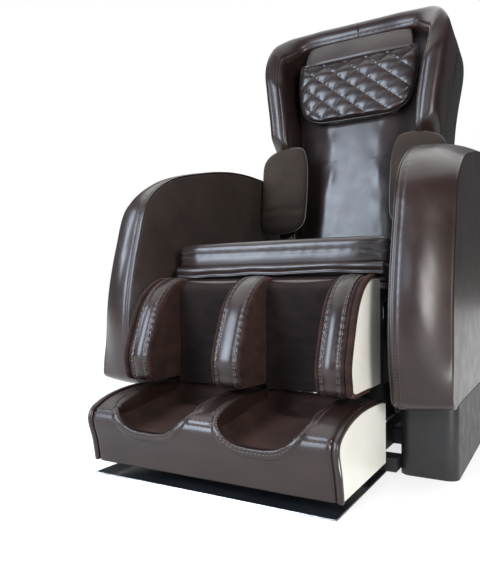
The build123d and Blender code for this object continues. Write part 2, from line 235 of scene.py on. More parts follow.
def soft_block(low, high, radius, step):
    """Points, unit normals and faces of a box with rounded edges, in mm, dense enough to shape."""
    low, high = np.asarray(low, float), np.asarray(high, float)
    size = high - low
    points, faces = [], []
    for axis in range(3):
        u, v = [k for k in range(3) if k != axis]
        nu, nv = (max(4, int(size[k] / step)) for k in (u, v))
        for end in (0, 1):
            base = len(points)
            for i in range(nu + 1):
                for j in range(nv + 1):
                    p = np.zeros(3)
                    p[axis] = end * size[axis]
                    p[u], p[v] = size[u] * i / nu, size[v] * j / nv
                    points.append(p + low)
            for i in range(nu):
                for j in range(nv):
                    a = base + i * (nv + 1) + j
                    faces.append((a, a + nv + 1, a + nv + 2, a + 1))
    points = np.array(points)
    core = np.clip(points, low + radius, high - radius)
    normal = points - core
    normal /= np.linalg.norm(normal, axis=1)[:, None] + 1e-12
    return core + normal * radius, normal, faces


def soft_piece(name, low, high, radius, step, shape, place, materials):
    """A rounded block whose points are moved by shape(points, normals) and then put in place."""
    points, normal, faces = soft_block(low, high, radius, step)
    return make_mesh(name, place(shape(points, normal)), faces, materials)


def tube(name, line, radius, materials, closed=False, sides=8):
    """A round bead along a line of points in metres."""
    line = np.asarray(line, float)
    ahead = headings(line, closed)
    side = np.cross(ahead[0], [0.31, 0.17, 0.93])
    rows = []
    for p, a in zip(line, ahead):
        side = side - a * (side @ a)
        side /= np.linalg.norm(side)
        other = np.cross(a, side)
        rows.append([p + radius * (math.cos(w) * side + math.sin(w) * other)
                     for w in np.linspace(0, 2 * math.pi, sides, endpoint=False)])
    return skin(name, rows, materials, loop_u=closed, loop_v=True, caps=not closed)


def surface_of(obj):
    """A search tree over a piece's mesh."""
    verts = [v.co.copy() for v in obj.data.vertices]
    return BVHTree.FromPolygons(verts, [tuple(p.vertices) for p in obj.data.polygons])


def on_surface(tree, line, lift):
    """The line moved onto the nearest surface, in metres, with the surface's normals."""
    points, normals = [], []
    for p in line:
        spot, normal, _, _ = tree.find_nearest(Vector(p))
        toward = Vector(p) - spot
        if normal.dot(toward) < 0 and toward.length > 1e-4:
            normal = -normal
        points.append(np.array(spot) + lift * np.array(normal))
        normals.append(np.array(normal))
    return np.array(points), np.array(normals)


# Place along a stitch and thickness there, as shares.
STITCH_RINGS = [(-1.0, 0.25), (-0.8, 0.8), (-0.3, 1.0), (0.3, 1.0), (0.8, 0.8), (1.0, 0.25)]
STITCH_SIDES = 6


def stitches(name, host, lines, material, body, pitch=5.2, long=3.6, thick=0.62):
    """Rows of thread stitches along lines in metres, laid on the host's surface."""
    tree = surface_of(host)
    points, faces = [], []
    for line in lines:
        total = length_of(line)
        count = max(2, int(total / (pitch * MM)))
        path, normals = on_surface(tree, even(line, count * 2 + 1), thick * MM * 0.45)
        for k in range(count):
            mid, normal = path[2 * k + 1], normals[2 * k + 1]
            along = path[2 * k + 2] - path[2 * k]
            if np.linalg.norm(along) < 1e-5:
                continue
            along /= np.linalg.norm(along)
            side = np.cross(normal, along)
            side /= np.linalg.norm(side) + 1e-12
            base = len(points)
            for t, r in STITCH_RINGS:
                for w in np.linspace(0, 2 * math.pi, STITCH_SIDES, endpoint=False):
                    points.append(mid + along * t * long * MM / 2
                                  + r * thick * MM * (math.cos(w) * side + math.sin(w) * normal))
            for i in range(len(STITCH_RINGS) - 1):
                a = base + STITCH_SIDES * i
                b = a + STITCH_SIDES
                for j in range(STITCH_SIDES):
                    k2 = (j + 1) % STITCH_SIDES
                    faces.append((a + j, b + j, b + k2, a + k2))
            last = base + STITCH_SIDES * (len(STITCH_RINGS) - 1)
            for end in (base, last):
                faces.append(tuple(end + j for j in range(STITCH_SIDES)))
    obj = add_object(name, points, faces, [material])
    shade_smooth(obj.data)
    obj.data.update()
    return dress(obj, body, fill=None)


# -------- materials

class Finish:
    """A procedural finish: colour and roughness that vary, with layers of relief."""

    def __init__(self, name, roughness, **shader):
        self.material = bpy.data.materials.new(name)
        self.material.use_nodes = True
        self.nodes = self.material.node_tree.nodes
        self.links = self.material.node_tree.links
        self.shader = self.nodes["Principled BSDF"]
        self.shader.inputs["Roughness"].default_value = roughness
        for socket, value in shader.items():
            self.shader.inputs[socket.replace("_", " ")].default_value = value
        place = self.nodes.new("ShaderNodeTexCoord")
        self.place = place.outputs["Object"]
        self.relief = None

    def node(self, kind, source, socket, **values):
        """A new node fed by source at one socket, with other sockets set to values."""
        node = self.nodes.new("ShaderNode" + kind)
        self.links.new(source, node.inputs[socket])
        for name, value in values.items():
            node.inputs[name.replace("_", " ")].default_value = value
        return node

    def stretched(self, stretch):
        if stretch is None:
            return self.place
        return self.node("Mapping", self.place, "Vector", Scale=stretch).outputs["Vector"]

    def noise(self, scale, detail=3.0, stretch=None):
        place = self.stretched(stretch)
        return self.node("TexNoise", place, "Vector", Scale=scale, Detail=detail).outputs["Fac"]

    def cells(self, scale):
        node = self.node("TexVoronoi", self.place, "Vector", Scale=scale)
        node.feature = "SMOOTH_F1"
        return node.outputs["Distance"]

    def weave(self, scale, direction):
        node = self.node("TexWave", self.place, "Vector", Scale=scale, Distortion=1.5)
        node.bands_direction = direction
        return node.outputs["Fac"]

    def colour(self, source, low, high, dark, light):
        node = self.node("ValToRGB", source, "Fac")
        for k, (position, shade) in enumerate(((low, dark), (high, light))):
            node.color_ramp.elements[k].position = position
            node.color_ramp.elements[k].color = (*shade, 1)
        self.links.new(node.outputs["Color"], self.shader.inputs["Base Color"])

    def rough(self, source, smooth, dull):
        node = self.node("MapRange", source, "Value", From_Min=0.3, From_Max=0.7, To_Min=smooth, To_Max=dull)
        self.links.new(node.outputs["Result"], self.shader.inputs["Roughness"])

    def bump(self, source, strength, depth):
        node = self.node("Bump", source, "Height", Strength=strength, Distance=depth)
        if self.relief is not None:
            self.links.new(self.relief, node.inputs["Normal"])
        self.relief = node.outputs["Normal"]
        self.links.new(self.relief, self.shader.inputs["Normal"])


def leather(name, dark, light, smooth, dull):
    f = Finish(name, smooth, Coat_Weight=0.24, Coat_Roughness=0.22, Specular_IOR_Level=0.34)
    f.colour(f.noise(9, 4), 0.35, 0.68, dark, light)
    f.rough(f.noise(28, 5), smooth, dull)
    f.bump(f.noise(46, 2), 0.10, 0.0012)
    f.bump(f.cells(760), 0.28, 0.00022)
    f.bump(f.noise(1500, 2), 0.12, 0.00012)
    return f.material


def velour(name, dark, light):
    f = Finish(name, 0.92, Sheen_Weight=0.22, Sheen_Roughness=0.45, Specular_IOR_Level=0.25)
    f.shader.inputs["Sheen Tint"].default_value = (0.42, 0.22, 0.17, 1)
    f.colour(f.noise(26, 6, (1, 1, 2.2)), 0.34, 0.7, dark, light)
    f.bump(f.noise(34, 3, (1, 1, 2.5)), 0.25, 0.0016)
    f.bump(f.noise(1300, 3), 0.5, 0.0006)
    return f.material


def woven(name, dark, light):
    f = Finish(name, 0.8, Sheen_Weight=0.15, Sheen_Roughness=0.5, Specular_IOR_Level=0.3)
    f.shader.inputs["Sheen Tint"].default_value = (0.5, 0.34, 0.26, 1)
    f.colour(f.noise(14, 5), 0.36, 0.68, dark, light)
    f.bump(f.noise(30, 2), 0.3, 0.0018)
    f.bump(f.weave(420, "X"), 0.3, 0.0003)
    f.bump(f.weave(420, "Z"), 0.3, 0.0003)
    return f.material


def moulded(name, dark, light, smooth, dull, grain=900, **shader):
    f = Finish(name, smooth, **shader)
    f.colour(f.noise(6, 3), 0.35, 0.7, dark, light)
    f.rough(f.noise(30, 4), smooth, dull)
    f.bump(f.cells(grain), 0.12, 0.0002)
    return f.material


def metal(name, dark, light, smooth, dull, stretch):
    f = Finish(name, smooth, Metallic=1.0)
    f.colour(f.noise(40, 4, stretch), 0.3, 0.75, dark, light)
    f.rough(f.noise(70, 4, stretch), smooth, dull)
    f.bump(f.noise(260, 2, stretch), 0.15, 0.0002)
    return f.material


def wood(name):
    f = Finish(name, 0.6)
    # The dark tone is painted shade: the boards are darkened so the seat pan's edge in the gap under the
    # seat's front reads dark; the grain is the wood's own.
    f.colour(f.noise(16, 6, (1, 1, 9)), 0.3, 0.7, (0.030, 0.020, 0.014), (0.070, 0.048, 0.034))
    f.bump(f.noise(90, 4, (1, 1, 9)), 0.3, 0.0005)
    return f.material


LEATHER = leather("leather", (0.0135, 0.0066, 0.0056), (0.0225, 0.0115, 0.0098), 0.29, 0.39)
LEATHER_SOFT = leather("leather_soft", (0.0170, 0.0110, 0.0102), (0.0270, 0.0180, 0.0170), 0.28, 0.38)
LEATHER_MATTE = leather("leather_matte", (0.0300, 0.0210, 0.0185), (0.0450, 0.0330, 0.0290), 0.46, 0.58)
VELOUR = velour("velour", (0.0095, 0.0036, 0.0028), (0.0270, 0.0112, 0.0086))
# A darker copy of the velour for the calf wells' back walls: painted shade for wells that lie in shadow.
VELOUR_PAINTED_SHADE = velour("velour_painted_shade", (0.0036, 0.0015, 0.0012), (0.0100, 0.0042, 0.0033))
WOVEN = woven("side_pad_fabric", (0.018, 0.0112, 0.0072), (0.032, 0.0200, 0.0130))
# Thread in a tone paler than the leather: the stitches are real, but their pale dashes are painted
# highlight, standing in for the light caught on the puckers beside them.
THREAD_PAINTED_HIGHLIGHT = moulded("thread", (0.045, 0.032, 0.028), (0.12, 0.095, 0.085), 0.45, 0.6)
PIPING = leather("piping", (0.012, 0.008, 0.0075), (0.020, 0.014, 0.0130), 0.28, 0.36)
# Black cloth for the sheet at the rear of the base: painted shade.
PAINTED_SHADE_CLOTH = woven("painted_shade_cloth", (0.008, 0.008, 0.009), (0.014, 0.014, 0.015))
THREAD_DARK = moulded("dark_thread", (0.010, 0.0075, 0.007), (0.018, 0.014, 0.013), 0.7, 0.8)
BLACK = moulded("black_moulding", (0.010, 0.010, 0.011), (0.018, 0.018, 0.019), 0.42, 0.55)
WHITE = moulded("ivory_panel", (0.74, 0.72, 0.65), (0.82, 0.81, 0.75), 0.32, 0.42, Coat_Weight=0.15)

FINISHES = {
    "leather_brown": LEATHER,
    "fabric_brown": VELOUR,
    "panel_white": WHITE,
    "plastic_black": BLACK,
    # The floor plate is a dark sheet put where the foot unit's shadow falls on the floor: a painted shadow,
    # in gloss black.
    "plate_black": moulded("painted_shadow_plate", (0.012, 0.014, 0.017), (0.020, 0.023, 0.027), 0.10, 0.16, 300),
    "steel_black": moulded("powder_coat", (0.016, 0.016, 0.017), (0.028, 0.028, 0.030), 0.48, 0.6, 1600),
    "steel_bright": metal("bright_steel", (0.42, 0.42, 0.44), (0.66, 0.66, 0.68), 0.22, 0.34, (1, 12, 1)),
    "motor_metal": metal("motor_casing", (0.22, 0.22, 0.23), (0.36, 0.36, 0.38), 0.38, 0.52, (1, 1, 6)),
    "roller_ivory": moulded("roller_plastic", (0.52, 0.48, 0.40), (0.66, 0.62, 0.53), 0.38, 0.5),
    "rubber_black": moulded("rubber", (0.014, 0.014, 0.014), (0.026, 0.026, 0.026), 0.72, 0.85, 500),
    "board_wood": wood("plywood_painted_shade"),
}


def finish_nodes():
    """Every CAD node that stays gets its slot's finish, and moulded ones a broken edge."""
    for node in frame["nodes"].values():
        for i, m in enumerate(node.data.materials):
            node.data.materials[i] = FINISHES[m.name.split(".")[0]]
    for name in ("calf_cover_left", "calf_cover_right", "foot_cover_left", "foot_cover_right",
                 "side_skirts", "keypad_housing", "rear_shell", "calf_back_cover", "floor_plate"):
        node = frame["nodes"][name]
        weld = node.modifiers.new("weld", "WELD")
        weld.merge_threshold = 1e-5
        bevel = node.modifiers.new("edge", "BEVEL")
        bevel.width = 0.0035 if "cover" in name else 0.0012
        bevel.segments = 3
        bevel.limit_method = "ANGLE"
        bevel.angle_limit = math.radians(40)
        bevel.harden_normals = True


def dress(obj, body, *nodes, slot="leather_brown", fill=0.7):
    """Puts a soft piece on its body in place of the CAD nodes."""
    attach(obj, body)
    if nodes:
        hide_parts(*nodes)
    return obj


def bead(name, line, radius, material, body, slot="leather_brown", closed=False):
    """A cord along a line in metres, riding on a body."""
    return dress(tube(name, line, radius, [material], closed), body, slot=slot, fill=None)


# -------- arms

ARM_IN, ARM_OUT = 280.0, 380.0
ARM_CURVE = [(166, 186), (156, 245), (161, 345), (187, 460), (222, 556), (300, 614), (460, 662), (600, 689),
             (740, 698), (860, 690), (945, 640), (985, 530), (976, 330), (950, 190), (934, 156), (900, 140),
             (820, 138), (500, 138), (250, 138), (202, 140), (176, 156)]
ARM_SPINE = np.array([(420.0, 380.0), (760.0, 430.0)])
ARM_CORNER = np.array([176.0, 156.0])     # lower front corner, where the padding thins
SEWN_FROM = 150.0                         # the seams stop above the underside


def arm_line(count):
    """The arm pod's side outline, clockwise from its lower front corner, with outward normals."""
    line = smooth_line(ARM_CURVE, count, closed=True)
    return line, outward(line, closed=True)


def to_spine(line, spine):
    """The nearest point of the spine to each point of the line."""
    a, b = spine
    t = np.clip(((line - a) @ (b - a)) / ((b - a) @ (b - a)), 0, 1)
    return a + t[:, None] * (b - a)


def arm_pod(side, name):
    """An arm's leather cover and inner lining, with its sewn and piped inner edge."""
    line, normal = arm_line(560)
    spine = to_spine(line, ARM_SPINE)
    front = smoothstep(0.1, 1.0, -normal[:, 0])
    under = smoothstep(0.3, 0.9, -normal[:, 1])
    deep = 26 + 15 * front - 12 * under
    deep = deep * (1 - 0.62 * bell(np.linalg.norm(line - ARM_CORNER, axis=1), 55))
    travel = travelled(line)
    rows = []
    pucker = 0.35 * np.sin(travel / 3.1) * (1 + 0.5 * wobble(3, travel))
    for x in np.linspace(0, 1, 34):
        wide = x * (ARM_OUT - ARM_IN - 1)
        round_out = 1 - np.sqrt(np.clip(1 - smoothstep(0.0, 1.0, x) ** 1.6 * 0.999, 0, 1))
        seam = 2.6 * bell(wide - 2, 3.0) + (1.0 + pucker) * bell(wide - 13, 2.2)
        soft = 0.5 * wobble(5, travel, np.full_like(travel, wide) * 2) * math.sin(math.pi * min(1, x * 1.2))
        rows.append(at_x(ARM_IN + 1 + wide, line - normal * (deep * round_out + seam - soft)[:, None]))
    edge = rows[-1]
    for f in (0.02, 0.06, 0.14, 0.28, 0.45, 0.65, 0.85, 1.0):
        p = edge[:, 1:] + (spine - edge[:, 1:]) * f
        rows.append(at_x(ARM_OUT - 0.6 + 2.4 * math.sin(math.pi / 2 * f), p))
    first = rows[0]
    for f in (0.012, 0.03, 0.08):
        p = first[:, 1:] + (spine - first[:, 1:]) * f
        rows.insert(0, at_x(ARM_IN + 3 + 60 * f, p))
    rows.insert(0, at_x(ARM_IN + 70, spine))
    points = np.array(rows)
    points[..., 0] *= side
    cover = skin(f"arm_cover_{name}", chair(points), [LEATHER], loop_v=True)
    dress(cover, "base", f"arm_shell_{name}")

    lining_rows = []
    inner = line - normal * 3.2
    for f, x in ((0.0, 5.0), (0.004, 2.2), (0.012, 0.9), (0.03, 0.2), (0.08, -0.3), (0.2, -0.8), (0.4, -1.4),
                 (0.65, -1.8), (0.85, -2.0), (1.0, -2.0)):
        p = inner + (spine - inner) * f
        sag = 0.7 * wobble(11, p[:, 0], p[:, 1]) * smoothstep(0, 0.2, f)
        lining_rows.append(np.column_stack([ARM_IN + x + sag, p]))
    lining_rows.insert(0, at_x(ARM_IN + 9, spine))
    lining_rows.insert(1, at_x(ARM_IN + 9, inner))
    points = np.array(lining_rows)
    points[..., 0] *= side
    lining = skin(f"arm_lining_{name}", chair(points), [LEATHER_MATTE], loop_v=True)
    dress(lining, "base", f"arm_inner_pad_{name}", slot="fabric_brown", fill=0.4)

    above = line[:, 1] > SEWN_FROM
    start = int(np.argmax(above & ~np.roll(above, 1)))
    order = np.roll(np.arange(len(line)), -start)[:int(above.sum())]
    runs = []
    for wide, inset in ((8.0, 0.0), (18.0, 1.0)):
        p = (line - normal * inset)[order]
        runs.append(chair(at_x(side * (ARM_IN + wide), p)))
    stitches(f"arm_stitching_{name}", cover, runs, THREAD_PAINTED_HIGHLIGHT, "base", pitch=6, long=4.2, thick=0.55)
    p = (line - normal * 2.2)[order]
    bead(f"arm_piping_{name}", chair(at_x(side * (ARM_IN + 1.6), p)), 0.0017, PIPING, "base")


# -------- seat

SEAT_HALF, SEAT_FRONT, SEAT_BACK, SEAT_TOP, SEAT_LOW = 245.0, 283.0, 772.0, 455.0, 366.0
SEAT_SEAM, SEAT_ROLL = 431.0, 417.0
RAISED_LEFT, RAISED_RIGHT = -115.0, 234.0      # sides of the seat's raised middle
FLAP_HALF, FLAP_FRONT = 241.0, 277.0


def shape_seat(p, n):
    """Crowns the seat's top, draws in its lower edge and sinks the seam round its sides."""
    x, y, z = p.T
    q = p.copy()
    across = 1 - np.clip(np.abs(x) / SEAT_HALF, 0, 1) ** 4
    along = smoothstep(SEAT_FRONT, SEAT_FRONT + 130, y) * smoothstep(SEAT_BACK, SEAT_BACK - 60, y)
    top = smoothstep(0.3, 0.9, n[:, 2])
    q[:, 2] += top * (5 * across * along + 1.6 * wobble(21, x, y * 1.4) * along)
    side = 1 - smoothstep(0.2, 0.8, np.abs(n[:, 2]))
    seam = -2.6 * bell(z - SEAT_SEAM, 2.2) + 1.3 * bell(z - SEAT_SEAM - 10, 9)
    seam = seam + 1.2 * bell(z - SEAT_ROLL, 11)
    gathers = 0.35 * np.sin((x + y) / 4.2 + wobble(4, x, y)) * bell(z - SEAT_SEAM, 7)
    corner = smoothstep(SEAT_HALF - 60, SEAT_HALF - 5, np.abs(x))
    corner = corner * smoothstep(SEAT_FRONT + 60, SEAT_FRONT + 5, y)
    creases = 1.6 * np.sin(z / 3.4 + np.abs(x) / 9) * corner
    low = smoothstep(404, 394, z)
    q += n * (side * (seam + gathers + creases - 13 * low))[:, None]
    q += n * (0.9 * wobble(8, x * 1.3, z, y) * side * (1 - low))[:, None]
    q[:, 1] += 10 * corner
    raised = smoothstep(RAISED_LEFT - 3, RAISED_LEFT + 3, x)
    raised = raised * smoothstep(SEAT_FRONT + 22, SEAT_FRONT + 34, y)
    q[:, 2] += 2.2 * top * raised * smoothstep(RAISED_RIGHT + 6, RAISED_RIGHT - 6, np.abs(x))
    return q


def make_seat():
    """The seat cushion, its stitching and the folded leather flap under its front."""
    cushion = soft_piece("seat_cushion_cover", (-SEAT_HALF, SEAT_FRONT, SEAT_LOW),
                         (SEAT_HALF, SEAT_BACK, SEAT_TOP), 13, 5, shape_seat, chair, [LEATHER_SOFT])
    dress(cushion, "base", "seat_cushion", fill=0.8)
    ring = rounded([(-SEAT_HALF, SEAT_BACK), (-SEAT_HALF, SEAT_FRONT), (SEAT_HALF, SEAT_FRONT),
                    (SEAT_HALF, SEAT_BACK)], 22)
    runs = [chair(np.column_stack([ring, np.full(len(ring), SEAT_SEAM + d)])) for d in (-6.0, 5.5)]
    stitches("seat_stitching", cushion, runs, THREAD_PAINTED_HIGHLIGHT, "base", pitch=5.6, long=4.0, thick=0.6)

    rows = []
    for x in np.linspace(-FLAP_HALF, FLAP_HALF, 150):
        wave = 2.0 * wobble(31, x * 1.2) + 2.4 * math.sin(x / 74 + 0.6)
        front = FLAP_FRONT + 1.2 * wobble(32, x * 1.7)
        fold = [(300, 405), (288, 405 + 0.2 * wave), (front, 403 + 0.4 * wave),
                (front - 3.6, 397 + 0.8 * wave), (front - 0.6, 389 + wave), (front - 0.2, 386 + wave),
                (front - 2.8, 382.5 + wave), (front + 1.5, 379.5 + wave), (front + 5, 383 + wave),
                (front + 5, 393 + wave), (front + 8, 399 + 0.4 * wave), (300, 400)]
        rows.append([(x, y, z) for y, z in rounded(fold, 4, closed=True, steps=3)[:-1]])
    flap = pad("seat_flap", chair(rows), [LEATHER])
    dress(flap, "base", "seat_apron", fill=0.2)


# -------- backrest

BACK_TOP = 846.0
WIDTHS = np.array([(-40, 214), (120, 226), (330, 240), (430, 250), (520, 256), (620, 270),
                   (720, 280)], float)                    # height up the backrest, half width
FRONTS = np.array([(150, -72), (436, -73), (450, -100), (464, -124), (500, -132), (560, -139), (660, -148),
                   (760, -130), (828, -60)], float)       # height up the backrest, depth of the wings' front
PANEL_LOW, PANEL_HIGH, PANEL_FACE, CORE_BACK = 116.0, 781.0, -41.0, -12.0


def half_width(s):
    return np.interp(s, WIDTHS[:, 0], WIDTHS[:, 1])


def wing_line(inset, low, count):
    """Half of the backrest's front outline, from low at the side up over the corner to the middle."""
    side = [(half_width(s) - inset, s) for s in (low, 330, 430, 520, 620, 720) if s >= low]
    corner = [(268 - inset, 765 - inset / 2), (222 - inset * 0.8, BACK_TOP - 19 - inset * 0.8)]
    top = [(140, BACK_TOP - inset), (70, BACK_TOP - inset), (0, BACK_TOP - inset)]
    return smooth_line(side + corner + top, count)


def wing(side, name):
    """One wing and its half of the head arch: a padded roll with a sewn inner edge."""
    low, thick = 152.0, 62.0
    outer = wing_line(1.0, low, 220)
    inner = wing_line(1.0 + thick, low, 220)
    middle = (outer + inner) / 2
    front = np.interp(middle[:, 1] + 12, FRONTS[:, 0], FRONTS[:, 1])
    front = np.convolve(np.pad(front, 4, mode="edge"), np.ones(9) / 9, "valid")
    travel = travelled(middle)
    rows = []
    for k in range(len(outer)):
        o, i, f = outer[k], inner[k], front[k]
        crease = 0.8 * wobble(41, travel[k])
        bumpy = 0.45 * math.sin(travel[k] / 3.3)
        outline = [(1.0, -1.0)]
        outline += [(1.0, t) for t in np.linspace(-8, f + 44, 9)]
        outline += [(1.0, f + 34), (0.985, f + 24), (0.95, f + 15), (0.89, f + 8.5), (0.80, f + 4),
                    (0.70, f + 1.4), (0.6, f + 0.2), (0.5, f), (0.4, f + 0.2 + crease), (0.30, f + 1.2),
                    (0.22, f + 3.2), (0.185, f + 5.6 + bumpy), (0.16, f + 5.2), (0.12, f + 6),
                    (0.06, f + 8.5), (0.02, f + 12.5), (0.0, f + 18)]
        outline += [(0.0, t) for t in np.linspace(f + 27, -8, 10)]
        outline += [(0.0, -1.0)]
        row = []
        for share, t in outline:
            p = i + (o - i) * share
            dent = 0.8 * wobble(44, travel[k] * 1.3, t * 2) if share < 0.01 else 0.0
            p = p + (o - i) / (np.linalg.norm(o - i) + 1e-9) * dent
            row.append((side * p[0], min(t, -1.0), p[1]))
        rows.append(row)
    cover = pad(f"wing_cover_{name}", back(rows), [LEATHER])
    dress(cover, "backrest", f"back_wing_{name}")
    runs = []
    for share, sunk in ((0.17, 3), (0.27, 0)):
        seam = inner + (outer - inner) * share
        runs.append(back(np.column_stack([side * seam[:, 0], front + sunk, seam[:, 1]]))[6:])
    stitches(f"wing_stitching_{name}", cover, runs, THREAD_PAINTED_HIGHLIGHT, "backrest", pitch=6, long=4.2, thick=0.5)


def panel_edge(s):
    """Half width of the whole back panel between the wings."""
    return np.interp(s, (118, 400, 640, 742, 766, 781), (175, 181, 202, 209, 203, 190))


def panel_half(s):
    """Half width of the stretched middle of the back panel: two zones, each with a pointed upper end."""
    lower = 84 - 14 * smoothstep(150, 480, s)
    upper = 66 + 14 * smoothstep(380, 640, s)
    return np.where(s < 400, lower, upper)


def panel_front(x, s):
    """Depth of the back panel's face, in front of the cushion's core."""
    edge = panel_edge(s) + 2
    across = np.clip(np.abs(x) / edge, 0, 1)
    half = panel_half(s)
    flat = smoothstep(half + 34, half - 2, np.abs(x))
    fall = 26 * smoothstep(0, 1, (np.abs(x) - half) / (edge - half)) * (1 - 0.25 * flat)
    tips = 0.0
    for centre, wide in ((398.0, 68.0), (596.0, 78.0)):
        ridge = bell(np.abs(x) - wide - 0.10 * (centre - s), 13) * bell((s - centre + 46), 46)
        tips = tips + 1.8 * ridge
    crown = 4 * (1 - across ** 2)
    creases = 0.6 * wobble(51, x * 1.1, s * 0.55)
    creases = creases + 0.8 * np.sin(s / 17 + wobble(52, x)) * bell(np.abs(x) - half, 16)
    return PANEL_FACE + fall - tips - crown - creases * (1 - across ** 6)


def level_row(xs, depths, s, half, behind, hollow=0):
    """One level of a padded piece: its face from side to side, then its back."""
    row = [(x, t, s) for x, t in zip(xs, depths)]
    return row + [(half, behind, s), (0, behind + hollow, s), (-half, behind, s)]


def make_back_panel():
    """The stretched leather panel between the wings, with a piped edge on each side."""
    rows = []
    levels = np.linspace(PANEL_LOW, PANEL_HIGH, 180)
    for s in levels:
        edge = float(panel_edge(s))
        xs = edge * np.sin(np.linspace(-math.pi / 2, math.pi / 2, 81))
        t = panel_front(xs, np.full_like(xs, s))
        foot = 1 - smoothstep(PANEL_LOW, PANEL_LOW + 16, s)
        t = np.minimum(t + foot * 14, CORE_BACK - 2)
        rows.append(level_row(xs, t, s, edge, CORE_BACK))
    panel = pad("back_panel", back(rows), [LEATHER_SOFT])
    dress(panel, "backrest", "back_cushion")
    for side, name in SIDES:
        edge = panel_edge(levels) - 6
        t = panel_front(edge, levels) - 1.0
        path = back(np.column_stack([side * edge, t, levels]))
        bead(f"back_piping_{name}", path, 0.0024, PIPING, "backrest")


PILLOW_HALF, PILLOW_LOW, PILLOW_TOP, FLAP_TOP = 183.0, 520.0, 718.0, 779.0
DIAMOND = (66.0, 56.0)                    # width and height of the quilt's cells
QUILT_EDGE, PILLOW_BACK = -65.0, -50.0


def pillow_outline(count):
    """Half outline of the quilted part: (half width, height) from the bottom middle to the top."""
    pts = [(0, PILLOW_LOW), (60, PILLOW_LOW), (118, PILLOW_LOW + 5), (158, PILLOW_LOW + 30),
           (176, PILLOW_LOW + 78), (PILLOW_HALF, PILLOW_LOW + 140), (PILLOW_HALF - 2, PILLOW_TOP - 14),
           (PILLOW_HALF - 4, PILLOW_TOP)]
    return smooth_line(pts, count)


def pillow_half(s):
    """Half width of the quilt at height s."""
    line = pillow_outline(200)[40:]
    return np.interp(s, line[:, 1], line[:, 0])


def make_pillow():
    """The quilted head pillow with its piping, the flap that holds it and the thread of its quilting."""
    rows = []
    levels = PILLOW_LOW + (PILLOW_TOP - PILLOW_LOW) * np.linspace(0, 1, 120) ** 1.12
    for s in levels:
        half = float(pillow_half(s)) if s > PILLOW_LOW + 0.5 else 66.0
        spread = np.linspace(-1, 1, 211)
        xs = half * (0.86 * spread + 0.14 * np.sin(spread * math.pi / 2))
        a = xs / DIAMOND[0] + s / DIAMOND[1]
        b = xs / DIAMOND[0] - s / DIAMOND[1]
        cell = np.abs(np.sin(math.pi * a) * np.sin(math.pi * b))
        puff = 4.6 * cell ** 0.42
        line_a, line_b = np.abs(a - np.round(a)), np.abs(b - np.round(b))
        near = np.minimum(line_a, line_b) * 42
        level = np.full_like(xs, s)
        pucker = 0.35 * np.sin((xs - s) / 3.0 + 2 * wobble(61, xs, level)) * bell(near - 3, 3.5)
        rim = (1 - (np.abs(xs) / (half + 0.01)) ** 12) * smoothstep(PILLOW_LOW, PILLOW_LOW + 8, s)
        rim = np.clip(rim, 0, 1) ** 0.5
        t = QUILT_EDGE - rim * (15 + puff + pucker + 1.2 * wobble(63, xs, level))
        t = t + 8 * smoothstep(PILLOW_TOP - 50, PILLOW_TOP, s) * rim
        rows.append(level_row(xs, t, s, half - 2, PILLOW_BACK, 2))
    quilt = pad("pillow_quilt", back(rows), [LEATHER_SOFT])
    dress(quilt, "pillow", "head_pillow", fill=0.75)

    outline = pillow_outline(120)
    full = np.vstack([outline[::-1] * (-1, 1), outline[1:]])
    edge = back(np.column_stack([full[:, 0] * 0.995, np.full(len(full), QUILT_EDGE - 1), full[:, 1] + 0.5]))
    bead("pillow_piping", edge, 0.0026, PIPING, "pillow")

    rows = []
    for s in np.linspace(PILLOW_TOP - 8, FLAP_TOP, 24):
        k = (s - PILLOW_TOP + 8) / (FLAP_TOP - PILLOW_TOP + 8)
        half = 167 - 9 * k ** 2
        xs = np.linspace(-half, half, 90)
        side = np.abs(xs / half) ** 8
        t = -76 + 14 * k ** 2 + 2.2 * wobble(66, xs, np.full_like(xs, s)) - 5 * (1 - (xs / half) ** 2)
        t = t + 9 * side + 3 * smoothstep(0.1, 0.0, k)
        rows.append(level_row(xs, t, s, half, PILLOW_BACK, 2))
    flap = pad("pillow_flap", back(rows), [LEATHER_MATTE])
    dress(flap, "pillow", fill=0.2)
    xs = np.linspace(-166, 166, 80)
    hem = np.column_stack([xs, -76.5 - 2.5 * (1 - (xs / 168) ** 2), np.full(len(xs), PILLOW_TOP - 8)])
    bead("pillow_flap_piping", back(hem), 0.0012, THREAD_DARK, "pillow")

    runs = []
    for family in (1, -1):
        for k in range(-18, 19):
            line = []
            for s in np.linspace(PILLOW_LOW + 5, PILLOW_TOP - 10, 60):
                x = family * DIAMOND[0] * (k - s / DIAMOND[1])
                if abs(x) < pillow_half(s) - 8:
                    line.append((x, -78.0, s))
            if len(line) > 4:
                runs.append(back(np.array(line)))
    stitches("pillow_stitching", quilt, runs, THREAD_DARK, "pillow", pitch=4.6, long=3.4, thick=0.45)


PAD_EDGE = -99.0                          # depth of the side pads' piping and hanging loop


